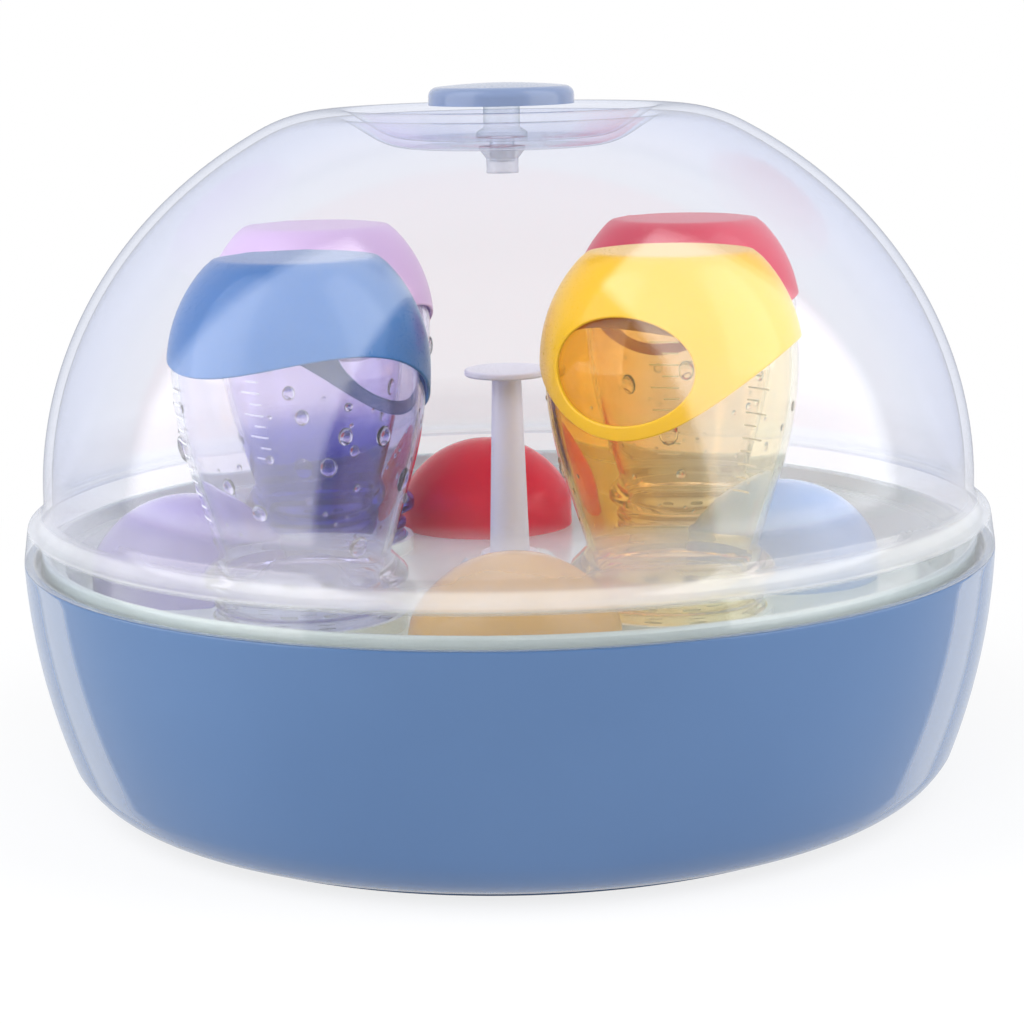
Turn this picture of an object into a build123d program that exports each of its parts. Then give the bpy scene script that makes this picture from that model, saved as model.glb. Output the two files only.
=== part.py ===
from build123d import *

import math
import os

# All sizes are in millimetres. +Z is up, the front is -Y, and the origin is the centre of the foot.

# Base bowl
rim_radius = 135.0
base_height = 69.0
base_wall = 2.6
rim_wall = 2.7
foot_radius = 107.5
foot_width = 9.0
foot_lift = 1.2
corner_inset = 10.8
corner_height = 12.5
corner_sagitta = 2.6
side_sagitta = 2.3
ledge_width = 3.5
ledge_depth = 2.4

# Tray
tray_sink = 4.4
tray_drop = 8.6
tray_rise = 6.9
tray_wall = 2.2
tray_slope = 4.0
tray_floor_margin = 1.0
tray_fit = 0.4
rim_tip_round = 0.9
seat_height = 4.0
seat_wall = 1.6
seat_fit = 0.5
steam_hole_radius = 2.5
steam_holes_in_seat = 6
steam_circle_radius = 11.7
steam_holes_in_hood = 3
hood_steam_circle_radius = 8.9
boss_radius = 12.5
boss_foot_radius = 18.0
boss_height = 7.3

# Lift post
post_radius = 5.6
post_top_radius = 4.1
post_bore = 2.6
post_length = 52.0
collar_radius = 8.1
collar_height = 1.5
collar_round = 0.6
spigot_radius = 4.4
spigot_length = 6.6
retainer_radius = 8.4
retainer_height = 2.6
retainer_chamfer = 0.8
grip_disc_radius = 11.8
grip_disc_height = 2.0
grip_disc_round = 0.7
grip_plug_length = 8.0
pin_fit = 0.05

# Bottles, which stand on their mouths
bottle_radius = 33.0
bottle_height = 96.5
bottle_wall = 1.8
belly_height = 69.0
flank_arc_radius = 95.0
flank_angle = 17.0
shoulder_arc_radius = 37.5
waist_height = 20.0
bead_flare = 4.64
bead_height = 2.6
bead_overhang = 3.6
thread_depth = 1.0
thread_width = 1.6
end_edge_round = 2.0
thread_turns = 2

# Grip sleeves
sleeve_gap = 0.2
sleeve_wall = 1.0
sleeve_wave_crest = 75.0
sleeve_wave_low = 49.5
sleeve_wave_back = 69.5
sleeve_crest_offset = 9.0
window_height = 70.0
window_half_width = 19.0
window_half_height = 13.5

# Bottle hoods
hood_radius = 26.8
hood_height = 27.0
hood_side = 6.0
hood_corner_radius = 14.0
hood_wall = 1.8
hood_gap = 1.2
hood_seat_gap = 0.5
hood_turn_tries = 8
hood_inset_tries = 4

# Lid
lid_wall = 2.4
lid_headroom = 36.5
lid_fit = 0.3
lip_wall = 1.5
lip_depth = 3.2
lip_rise = 2.0
skirt_height = 10.8
skirt_taper = 1.4
skirt_step = 2.0
step_height = 1.2
flare_height = 5.7
dome_inset = 6.0
bottle_dome_gap = 4.2
crown_flat_radius = 56.0
crown_round = 45.0
dish_radius = 43.0
dish_floor_radius = 30.0
dish_depth = 8.3
dish_round = 5.0
dish_rim_round = 3.0

# Knob on the lid
knob_radius = 20.0
knob_height = 5.8
knob_crown = 1.2
knob_wall = 2.0
knob_round = 2.6
knob_lift = 0.7
stem_radius = 5.0
stem_foot_radius = 7.0
stem_foot_height = 1.4
stem_pin_radius = 3.4
stem_pin_length = 6.6
clip_radius = 6.4
clip_tip_radius = 4.4
clip_height = 7.3
clip_shoulder_height = 0.8
clip_neck_height = 2.6


def waist_radius(inset):
    """Radius of a bottle at its waist, brought in by an inset."""
    flank = math.radians(flank_angle)
    swing = flank_arc_radius - inset
    low_r = bottle_radius - flank_arc_radius + swing * math.cos(flank)
    low_z = belly_height - swing * math.sin(flank)
    return low_r - (low_z - waist_height) * math.tan(flank)


# Places that follow from the sizes
tray_seat_z = base_height - tray_sink
floor_z = tray_seat_z - tray_drop
tray_under_z = floor_z - tray_wall
tray_top_z = tray_seat_z + tray_rise
register_radius = rim_radius - rim_wall
lip_radius = register_radius - lid_fit
lip_bore = lip_radius - lip_wall
tray_radius = lip_bore - tray_fit
ledge_radius = tray_radius - ledge_width
tray_wall_radius = ledge_radius - tray_fit
tray_floor_radius = tray_wall_radius - tray_wall - tray_slope
boss_top_z = floor_z + boss_height
post_base_z = boss_top_z + collar_height
crown_z = floor_z + bottle_height + lid_headroom
dish_floor_z = crown_z - dish_depth
dome_radius = rim_radius - dome_inset
spring_z = base_height + skirt_height + flare_height
dome_rise = (crown_z - spring_z) / math.sqrt(1 - (crown_flat_radius / dome_radius) ** 2)
knob_base_z = crown_z + knob_lift
knob_top_z = knob_base_z + knob_height
bead_radius = waist_radius(0) + bead_flare
neck_radius = bead_radius - bead_overhang
thread_radius = neck_radius + thread_depth
seat_bore = thread_radius + seat_fit
seat_radius = seat_bore + seat_wall
sleeve_radius = bottle_radius + sleeve_gap + sleeve_wall
shoulder_tries = 8


def dome_bore(height):
    """Inside radius of the dome at a height above its spring line."""
    share = (height - spring_z) / (dome_rise - lid_wall)
    return (dome_radius - lid_wall) * math.sqrt(1 - share * share)


def shoulder_reach(degrees):
    """How far from the lid's axis a bottle may stand, judged at one angle of its shoulder."""
    swing = shoulder_arc_radius + sleeve_gap + sleeve_wall
    out = bottle_radius - shoulder_arc_radius + swing * math.cos(math.radians(degrees))
    up = floor_z + belly_height + swing * math.sin(math.radians(degrees))
    return dome_bore(up) - out


end_angle = math.degrees(math.asin((bottle_height - belly_height) / shoulder_arc_radius))
bottle_ring = min(
    shoulder_reach(end_angle * step / shoulder_tries) for step in range(shoulder_tries + 1)
) - bottle_dome_gap
hood_ring = tray_floor_radius - tray_floor_margin - hood_radius - hood_gap

# Name: (bearing from +X in degrees, distance inside the ring, bearing of the grip window)
bottle_places = {
    "front_left": (223.1, 0.8, 42.5),
    "front_right": (310.4, 8.4, -118.0),
    "rear_left": (138.2, 0.0, 75.0),
    "rear_right": (43.3, 1.1, 100.0),
}
hood_places = {
    "front": (270.6, 1.5),
    "rear": (94.7, 5.2),
    "left": (181.3, 0.0),
    "right": (1.5, 13.5),
}


def polar_point(radius, bearing):
    """X and Y of a point at a radius and a bearing from the origin."""
    turn = math.radians(bearing)
    return radius * math.cos(turn), radius * math.sin(turn)


def upright_plane(x, y, z):
    """Vertical plane through a point: its first axis is +X and its second is +Z."""
    return Plane(origin=(x, y, z), x_dir=(1, 0, 0), z_dir=(0, -1, 0))


def corner_at(vertices, x, y):
    """The vertex of a sketch that lies nearest to a point."""
    return vertices.sort_by_distance(Vector(x, y, 0))[0]


bottle_centres = {
    name: polar_point(bottle_ring - inset, bearing)
    for name, (bearing, inset, _) in bottle_places.items()
}


def hood_centre(bearing, inset):
    """X and Y of a hood: its own place, or the nearest one that is clear of the bottle seats."""
    own = polar_point(hood_ring - inset, bearing)
    reach = hood_radius + seat_radius + hood_seat_gap
    spots = [own] + [
        polar_point(hood_ring - inset * step / hood_inset_tries, bearing + turn)
        for step in range(hood_inset_tries + 1)
        for turn in range(-hood_turn_tries, hood_turn_tries + 1)
    ]
    free = [
        spot for spot in spots
        if all(math.dist(spot, seat) >= reach for seat in bottle_centres.values())
    ]
    return min(free, key=lambda spot: math.dist(spot, own), default=own)


hood_centres = {name: hood_centre(*place) for name, place in hood_places.items()}


def bowl_outline(inset):
    """Closed half outline of the bowl, brought in by an inset, from the axis to above the rim."""
    corner = (rim_radius - corner_inset - inset, corner_height + inset / 2)
    rim = (rim_radius - inset, base_height)
    toe = (foot_radius, foot_lift + inset)
    with BuildLine() as outline:
        Line((0, foot_lift + inset), toe)
        SagittaArc(toe, corner, -corner_sagitta)
        SagittaArc(corner, rim, -side_sagitta)
        Polyline(rim, (0, base_height), (0, foot_lift + inset))
    return outline.line


with BuildPart() as base_bowl:
    with BuildSketch(Plane.XZ):
        make_face(bowl_outline(0))
        make_face(bowl_outline(base_wall), mode=Mode.SUBTRACT)
        with Locations((foot_radius - foot_width, 0)):
            Rectangle(foot_width, foot_lift + base_wall / 2, align=(Align.MIN, Align.MIN))
        with BuildLine():
            Polyline(
                (ledge_radius, tray_seat_z),
                (register_radius + rim_wall / 2, tray_seat_z),
                (register_radius + rim_wall / 2, tray_seat_z - ledge_depth - ledge_width * 2),
                (ledge_radius, tray_seat_z - ledge_depth),
                close=True,
            )
        make_face()
        with Locations((0, tray_seat_z)):
            Rectangle(
                register_radius, base_height, align=(Align.MIN, Align.MIN), mode=Mode.SUBTRACT
            )
    revolve(axis=Axis.Z)
base_bowl.part.label = "base_bowl"


with BuildPart() as tray:
    with BuildSketch(Plane.XZ) as tray_section:
        with BuildLine():
            Polyline(
                (0, tray_under_z),
                (tray_wall_radius - tray_slope, tray_under_z),
                (tray_wall_radius, tray_seat_z),
                (tray_radius, tray_seat_z),
                (tray_radius, tray_top_z),
                (tray_radius - tray_wall, tray_top_z),
                (tray_radius - tray_wall, tray_seat_z + tray_wall),
                (tray_wall_radius - tray_wall, tray_seat_z + tray_wall),
                (tray_floor_radius, floor_z),
                (0, floor_z),
                close=True,
            )
        make_face()
        corners = tray_section.vertices()
        fillet(corner_at(corners, tray_floor_radius, floor_z), tray_wall)
        fillet(corner_at(corners, tray_wall_radius - tray_slope, tray_under_z), tray_wall)
        rim_tips = [
            corner_at(tray_section.vertices(), tray_radius, tray_top_z),
            corner_at(tray_section.vertices(), tray_radius - tray_wall, tray_top_z),
        ]
        fillet(rim_tips, rim_tip_round)
    revolve(axis=Axis.Z)
    # Hollow boss that carries the lift post
    with BuildSketch(Plane.XZ):
        with BuildLine():
            Polyline((0, floor_z), (boss_foot_radius, floor_z), (boss_radius, boss_top_z),
                     (0, boss_top_z), close=True)
        make_face()
    revolve(axis=Axis.Z)
    with BuildSketch(Plane.XZ):
        with BuildLine():
            Polyline((0, tray_under_z), (boss_foot_radius - tray_wall, tray_under_z),
                     (boss_radius - tray_wall, boss_top_z - tray_wall),
                     (0, boss_top_z - tray_wall), close=True)
        make_face()
    revolve(axis=Axis.Z, mode=Mode.SUBTRACT)
    # Seat rings that the bottle mouths stand in, and locating rings inside the hoods
    with BuildSketch(Plane.XY.offset(floor_z)):
        with Locations(*bottle_centres.values()):
            Circle(seat_radius)
            Circle(seat_bore, mode=Mode.SUBTRACT)
        with Locations(*hood_centres.values()):
            Circle(hood_radius - hood_wall - seat_fit)
            Circle(hood_radius - hood_wall - seat_fit - seat_wall, mode=Mode.SUBTRACT)
    extrude(amount=seat_height)
    # Steam holes under every bottle and every hood, and the bore for the post
    with BuildSketch(Plane.XY.offset(tray_under_z)):
        for centre in bottle_centres.values():
            with Locations(centre):
                Circle(steam_hole_radius)
                with PolarLocations(steam_circle_radius, steam_holes_in_seat):
                    Circle(steam_hole_radius)
        for centre in hood_centres.values():
            with Locations(centre):
                with PolarLocations(hood_steam_circle_radius, steam_holes_in_hood):
                    Circle(steam_hole_radius)
        Circle(spigot_radius + pin_fit)
    extrude(amount=boss_top_z - tray_under_z, mode=Mode.SUBTRACT)
tray.part.label = "tray"


with BuildPart() as lift_post:
    shaft_top_z = post_base_z + post_length - grip_disc_height
    with BuildSketch(Plane.XZ) as post_section:
        with BuildLine():
            Polyline(
                (post_bore, boss_top_z - spigot_length),
                (spigot_radius, boss_top_z - spigot_length),
                (spigot_radius, boss_top_z),
                (collar_radius, boss_top_z),
                (collar_radius, post_base_z),
                (post_radius, post_base_z),
                (post_top_radius, shaft_top_z),
                (post_bore, shaft_top_z),
                close=True,
            )
        make_face()
        fillet(corner_at(post_section.vertices(), collar_radius, post_base_z), collar_round)
    revolve(axis=Axis.Z)
lift_post.part.label = "lift_post"


with BuildPart() as post_grip_disc:
    with BuildSketch(Plane.XZ) as disc_section:
        with Locations((0, shaft_top_z)):
            Rectangle(grip_disc_radius, grip_disc_height, align=(Align.MIN, Align.MIN))
        tips = disc_section.vertices().group_by(Axis.X)[-1]
        fillet(tips, grip_disc_round)
        with Locations((0, shaft_top_z - grip_plug_length)):
            Rectangle(post_bore - pin_fit, grip_plug_length, align=(Align.MIN, Align.MIN))
    revolve(axis=Axis.Z)
post_grip_disc.part.label = "post_grip_disc"


with BuildPart() as post_retainer:
    with BuildSketch(Plane.XY.offset(boss_top_z - tray_wall - retainer_height)):
        Circle(retainer_radius)
        Circle(spigot_radius + pin_fit, mode=Mode.SUBTRACT)
    extrude(amount=retainer_height)
    chamfer(post_retainer.faces().sort_by(Axis.Z)[0].outer_wire().edges(), retainer_chamfer)
post_retainer.part.label = "post_retainer"


def belly_outline(inset, edge_radius):
    """Closed half outline of a bottle's body from waist to end, brought in by an inset."""
    flank = math.radians(flank_angle)
    flank_swing = flank_arc_radius - inset
    shoulder_swing = shoulder_arc_radius - inset
    low = (
        bottle_radius - flank_arc_radius + flank_swing * math.cos(flank),
        belly_height - flank_swing * math.sin(flank),
    )
    waist = (low[0] - (low[1] - waist_height) * math.tan(flank), waist_height)
    end_z = bottle_height - inset
    end_turn = math.degrees(math.asin((end_z - belly_height) / shoulder_swing))
    end_r = bottle_radius - shoulder_arc_radius + shoulder_swing * math.cos(math.radians(end_turn))
    with BuildLine() as outline:
        Line((edge_radius, waist_height), waist)
        Line(waist, low)
        CenterArc((bottle_radius - flank_arc_radius, belly_height), flank_swing,
                  -flank_angle, flank_angle)
        CenterArc((bottle_radius - shoulder_arc_radius, belly_height), shoulder_swing, 0, end_turn)
        Polyline((end_r, end_z), (edge_radius, end_z), (edge_radius, waist_height))
    return outline.line


def neck_outline():
    """Closed half outline of a bottle's neck, with its bead and two thread turns."""
    flare = bead_radius - waist_radius(0)
    bead_top = waist_height - flare
    bead_low = bead_top - bead_height
    pitch = (bead_low - thread_depth) / (thread_turns + 1)
    turns = []
    for turn in range(1, thread_turns + 1):
        middle = pitch * turn
        turns += [
            (neck_radius, middle - thread_width),
            (thread_radius, middle - thread_width / 2),
            (thread_radius, middle + thread_width / 2),
            (neck_radius, middle + thread_width),
        ]
    with BuildLine() as outline:
        Polyline(
            (0, 0),
            (neck_radius, 0),
            *turns,
            (neck_radius, bead_low - thread_depth),
            (bead_radius, bead_low),
            (bead_radius, bead_top),
            (waist_radius(0), waist_height),
            (0, waist_height),
            close=True,
        )
    return outline.line


def neck_bore_outline():
    """Closed half outline of the hollow inside a bottle's neck."""
    with BuildLine() as outline:
        Polyline(
            (0, 0),
            (neck_radius - bottle_wall, 0),
            (neck_radius - bottle_wall, waist_height - bottle_wall * 2),
            (waist_radius(bottle_wall), waist_height),
            (0, waist_height),
            close=True,
        )
    return outline.line


bottle_bodies = {}
bottle_sleeves = {}
for place, (x, y) in bottle_centres.items():
    window_bearing = bottle_places[place][2]
    axis = Axis((x, y, 0), (0, 0, 1))
    upright = upright_plane(x, y, floor_z)
    window_way = Vector(*polar_point(1, window_bearing), 0)
    side_way = Vector(*polar_point(1, window_bearing + 90), 0)

    with BuildPart() as bottle:
        with BuildSketch(upright) as bottle_section:
            make_face(belly_outline(0, 0))
            end_corner = corner_at(bottle_section.vertices(), bottle_radius, bottle_height)
            fillet(end_corner, end_edge_round)
            make_face(neck_outline())
            make_face(belly_outline(bottle_wall, 0), mode=Mode.SUBTRACT)
            make_face(neck_bore_outline(), mode=Mode.SUBTRACT)
        revolve(axis=axis)
    bottle.part.label = f"bottle_{place}"
    bottle_bodies[place] = bottle.part

    with BuildPart() as sleeve:
        with BuildSketch(upright) as sleeve_section:
            make_face(belly_outline(-sleeve_gap - sleeve_wall, 0))
            end_corner = corner_at(sleeve_section.vertices(), bottle_radius, bottle_height)
            fillet(end_corner, end_edge_round + sleeve_wall)
            make_face(belly_outline(-sleeve_gap, 0), mode=Mode.SUBTRACT)
        revolve(axis=axis)
        # The lower edge dips deep under the window and a little on the opposite side
        with BuildSketch(Plane(origin=(x, y, floor_z), x_dir=window_way, z_dir=side_way * -1)):
            with BuildLine():
                crest = (-sleeve_crest_offset, sleeve_wave_crest)
                window_end = (sleeve_radius, sleeve_wave_low)
                back_end = (-sleeve_radius, sleeve_wave_back)
                TangentArc(crest, window_end, tangent=(1, 0))
                TangentArc(crest, back_end, tangent=(-1, 0))
                Polyline(
                    window_end,
                    (sleeve_radius * 2, sleeve_wave_low),
                    (sleeve_radius * 2, 0),
                    (-sleeve_radius * 2, 0),
                    (-sleeve_radius * 2, sleeve_wave_back),
                    back_end,
                )
            make_face()
        extrude(amount=sleeve_radius * 2, both=True, mode=Mode.SUBTRACT)
        # One oval window
        with BuildSketch(Plane(origin=(x, y, floor_z + window_height), x_dir=side_way,
                               z_dir=window_way)):
            Ellipse(window_half_width, window_half_height)
        extrude(amount=sleeve_radius * 2, mode=Mode.SUBTRACT)
    sleeve.part.label = f"grip_sleeve_{place}"
    bottle_sleeves[place] = sleeve.part


def hood_outline(inset):
    """Closed half outline of a hood, brought in by an inset: side, rounded corner and round crown."""
    corner_r = hood_radius - hood_corner_radius
    rise = hood_height - hood_side
    crown_radius = (corner_r**2 + rise**2 - hood_corner_radius**2) / (
        2 * (rise - hood_corner_radius)
    )
    crown_centre_z = hood_height - crown_radius
    meet = math.degrees(math.atan2(hood_side - crown_centre_z, corner_r))
    with BuildLine() as outline:
        Polyline((0, hood_height - inset), (0, 0), (hood_radius - inset, 0),
                 (hood_radius - inset, hood_side))
        CenterArc((corner_r, hood_side), hood_corner_radius - inset, 0, meet)
        CenterArc((0, crown_centre_z), crown_radius - inset, meet, 90 - meet)
    return outline.line


hoods = {}
for place, (x, y) in hood_centres.items():
    with BuildPart() as hood:
        with BuildSketch(upright_plane(x, y, floor_z)):
            make_face(hood_outline(0))
            make_face(hood_outline(hood_wall), mode=Mode.SUBTRACT)
        revolve(axis=Axis((x, y, 0), (0, 0, 1)))
    hood.part.label = f"hood_{place}"
    hoods[place] = hood.part


side_slope = math.atan2(dish_depth, dish_radius - dish_floor_radius)


def lid_outline(inset):
    """Closed half outline of the space inside a surface that lies an inset under the lid's."""
    reach = inset * math.tan(side_slope / 2)
    top = crown_z - inset
    semi_width = dome_radius - inset
    semi_height = dome_rise - inset
    meet = math.degrees(math.asin((top - spring_z) / semi_height))
    meet_radius = semi_width * math.cos(math.radians(meet))
    flare_foot = (rim_radius - skirt_taper - skirt_step - inset, base_height + skirt_height)
    step_foot = (rim_radius - skirt_taper - inset, flare_foot[1] - step_height)
    with BuildLine() as outline:
        Polyline(
            (meet_radius, top),
            (dish_radius + reach, top),
            (dish_floor_radius + reach, dish_floor_z - inset),
            (0, dish_floor_z - inset),
            (0, base_height),
            (rim_radius - inset, base_height),
            step_foot,
            flare_foot,
        )
        TangentArc((dome_radius - inset, spring_z), flare_foot, tangent=(0, -1))
        EllipticalCenterArc((0, spring_z), semi_width, semi_height, start_angle=0, arc_size=meet)
    return outline.line


with BuildPart() as lid_dome:
    with BuildSketch(Plane.XZ) as lid_section:
        make_face(lid_outline(0))
        meet_point = corner_at(lid_section.vertices(), crown_flat_radius, crown_z)
        fillet(meet_point, crown_round)
        dish_rim = corner_at(lid_section.vertices(), dish_radius, crown_z)
        fillet(dish_rim, dish_rim_round)
        dish_foot = corner_at(lid_section.vertices(), dish_floor_radius, dish_floor_z)
        fillet(dish_foot, dish_round)
        with BuildSketch(mode=Mode.SUBTRACT) as hollow:
            make_face(lid_outline(lid_wall))
            meet_point = corner_at(hollow.vertices(), crown_flat_radius, crown_z - lid_wall)
            fillet(meet_point, crown_round - lid_wall)
            dish_rim = corner_at(hollow.vertices(), dish_radius, crown_z - lid_wall)
            fillet(dish_rim, dish_rim_round + lid_wall)
            dish_foot = corner_at(hollow.vertices(), dish_floor_radius, dish_floor_z - lid_wall)
            fillet(dish_foot, dish_round - lid_wall)
        # Lip that drops inside the bowl's rim and keeps the lid in place
        with BuildLine():
            Polyline(
                (lip_bore, base_height - lip_depth),
                (lip_radius, base_height - lip_depth),
                (lip_radius, base_height),
                (rim_radius - lid_wall / 2, base_height),
                (rim_radius - lid_wall / 2, base_height + lip_rise + lip_wall),
                (lip_bore, base_height + lip_rise),
                close=True,
            )
        make_face()
    revolve(axis=Axis.Z)
    with Locations((0, 0, dish_floor_z)):
        Hole(stem_pin_radius + pin_fit, depth=lid_wall * 2)
lid_dome.part.label = "lid_dome"


with BuildPart() as lid_knob:
    side_top_z = knob_top_z - knob_crown
    crown_radius = (knob_radius**2 + knob_crown**2) / (2 * knob_crown)
    crown_turn = math.degrees(math.asin(knob_radius / crown_radius))
    with BuildSketch(Plane.XZ) as knob_section:
        with BuildLine():
            Polyline((0, knob_top_z), (0, knob_base_z), (knob_radius, knob_base_z),
                     (knob_radius, side_top_z))
            CenterArc((0, knob_top_z - crown_radius), crown_radius, 90 - crown_turn, crown_turn)
        make_face()
        fillet(corner_at(knob_section.vertices(), knob_radius, side_top_z), knob_round)
        # Recess under the cap, around the socket that takes the stem
        with Locations((stem_radius + knob_wall, knob_base_z)):
            Rectangle(knob_radius - stem_radius - 2 * knob_wall, knob_height - knob_wall - knob_crown,
                      align=(Align.MIN, Align.MIN), mode=Mode.SUBTRACT)
        with Locations((0, knob_base_z)):
            Rectangle(stem_radius + pin_fit, knob_height - knob_wall, align=(Align.MIN, Align.MIN),
                      mode=Mode.SUBTRACT)
    revolve(axis=Axis.Z)
lid_knob.part.label = "lid_knob"


with BuildPart() as knob_stem:
    with BuildSketch(Plane.XZ):
        with BuildLine():
            Polyline(
                (0, dish_floor_z - stem_pin_length),
                (stem_pin_radius, dish_floor_z - stem_pin_length),
                (stem_pin_radius, dish_floor_z),
                (stem_foot_radius, dish_floor_z),
                (stem_foot_radius, dish_floor_z + stem_foot_height),
                (stem_radius, dish_floor_z + stem_foot_height * 2),
                (stem_radius, knob_base_z + knob_height - knob_wall),
                (0, knob_base_z + knob_height - knob_wall),
                close=True,
            )
        make_face()
    revolve(axis=Axis.Z)
knob_stem.part.label = "knob_stem"


with BuildPart() as knob_clip:
    clip_top_z = dish_floor_z - lid_wall
    with BuildSketch(Plane.XZ):
        with BuildLine():
            Polyline(
                (stem_pin_radius + pin_fit, clip_top_z),
                (clip_radius, clip_top_z),
                (clip_radius, clip_top_z - clip_shoulder_height),
                (clip_tip_radius, clip_top_z - clip_shoulder_height - clip_neck_height),
                (clip_tip_radius, clip_top_z - clip_height),
                (0, clip_top_z - clip_height),
                (0, dish_floor_z - stem_pin_length),
                (stem_pin_radius + pin_fit, dish_floor_z - stem_pin_length),
                close=True,
            )
        make_face()
    revolve(axis=Axis.Z)
knob_clip.part.label = "knob_clip"


os.makedirs("parts", exist_ok=True)
single_parts = [
    base_bowl.part,
    tray.part,
    lift_post.part,
    post_grip_disc.part,
    post_retainer.part,
    lid_dome.part,
    lid_knob.part,
    knob_stem.part,
    knob_clip.part,
]
repeated_parts = [*bottle_bodies.values(), *bottle_sleeves.values(), *hoods.values()]
for piece in single_parts + repeated_parts:
    export_step(piece, f"parts/{piece.label}.step")

print("bottle ring radius", round(bottle_ring, 2), "hood ring radius", round(hood_ring, 2))
print("crown height", round(crown_z, 2), "knob top", round(knob_top_z, 2))
for name, (x, y) in {**bottle_centres, **hood_centres}.items():
    print(name, round(x, 1), round(y, 1))
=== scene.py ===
"""Looks of a microwave steam sterilizer: a blue water bowl under a clear domed lid, loaded."""

import logging
import math
import random
from dataclasses import dataclass, field
from enum import Enum

import bpy
from mathutils import Matrix, Vector

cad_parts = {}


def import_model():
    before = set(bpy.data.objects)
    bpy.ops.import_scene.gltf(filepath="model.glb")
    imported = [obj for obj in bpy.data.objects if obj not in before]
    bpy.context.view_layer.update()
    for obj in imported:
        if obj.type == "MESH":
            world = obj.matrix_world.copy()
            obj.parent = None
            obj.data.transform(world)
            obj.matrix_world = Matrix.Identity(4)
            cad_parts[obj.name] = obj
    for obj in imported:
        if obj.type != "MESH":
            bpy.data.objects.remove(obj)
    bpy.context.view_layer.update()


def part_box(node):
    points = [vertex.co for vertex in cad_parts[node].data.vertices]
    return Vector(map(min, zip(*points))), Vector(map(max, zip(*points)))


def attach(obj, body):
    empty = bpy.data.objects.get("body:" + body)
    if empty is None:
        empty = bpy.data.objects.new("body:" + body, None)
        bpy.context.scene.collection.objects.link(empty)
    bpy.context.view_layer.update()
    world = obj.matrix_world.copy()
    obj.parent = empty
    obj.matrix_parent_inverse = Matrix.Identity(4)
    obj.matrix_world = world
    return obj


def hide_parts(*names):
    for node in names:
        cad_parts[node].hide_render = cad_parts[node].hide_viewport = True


LOG = logging.getLogger("sterilizer")
MM = 0.001
WELD = 0.000004
SMOOTH_ANGLE = math.radians(38)
ROUNDING_SHARE = 0.49
FINE_TURN = 192
PLAIN_TURN = 96
TICK_TURN = 8
UP = Vector((0, 0, 1))
WHITE = (1.0, 1.0, 1.0)
PLASTIC_BEND = 1.49

Point = tuple[float, float]
Triple = tuple[float, float, float]
Colour = Triple
Socket = bpy.types.NodeSocket
Piece = bpy.types.Object


def tone(red: int, green: int, blue: int) -> Colour:
    """Turns a colour as a screen shows it into the linear colour that a shader takes.

    Args:
        red: Red from 0 to 255.
        green: Green from 0 to 255.
        blue: Blue from 0 to 255.

    Returns:
        The linear colour.
    """
    shares = (value / 255 for value in (red, green, blue))
    return tuple(
        share / 12.92 if share <= 0.04045 else ((share + 0.055) / 1.055) ** 2.4
        for share in shares
    )


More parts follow.
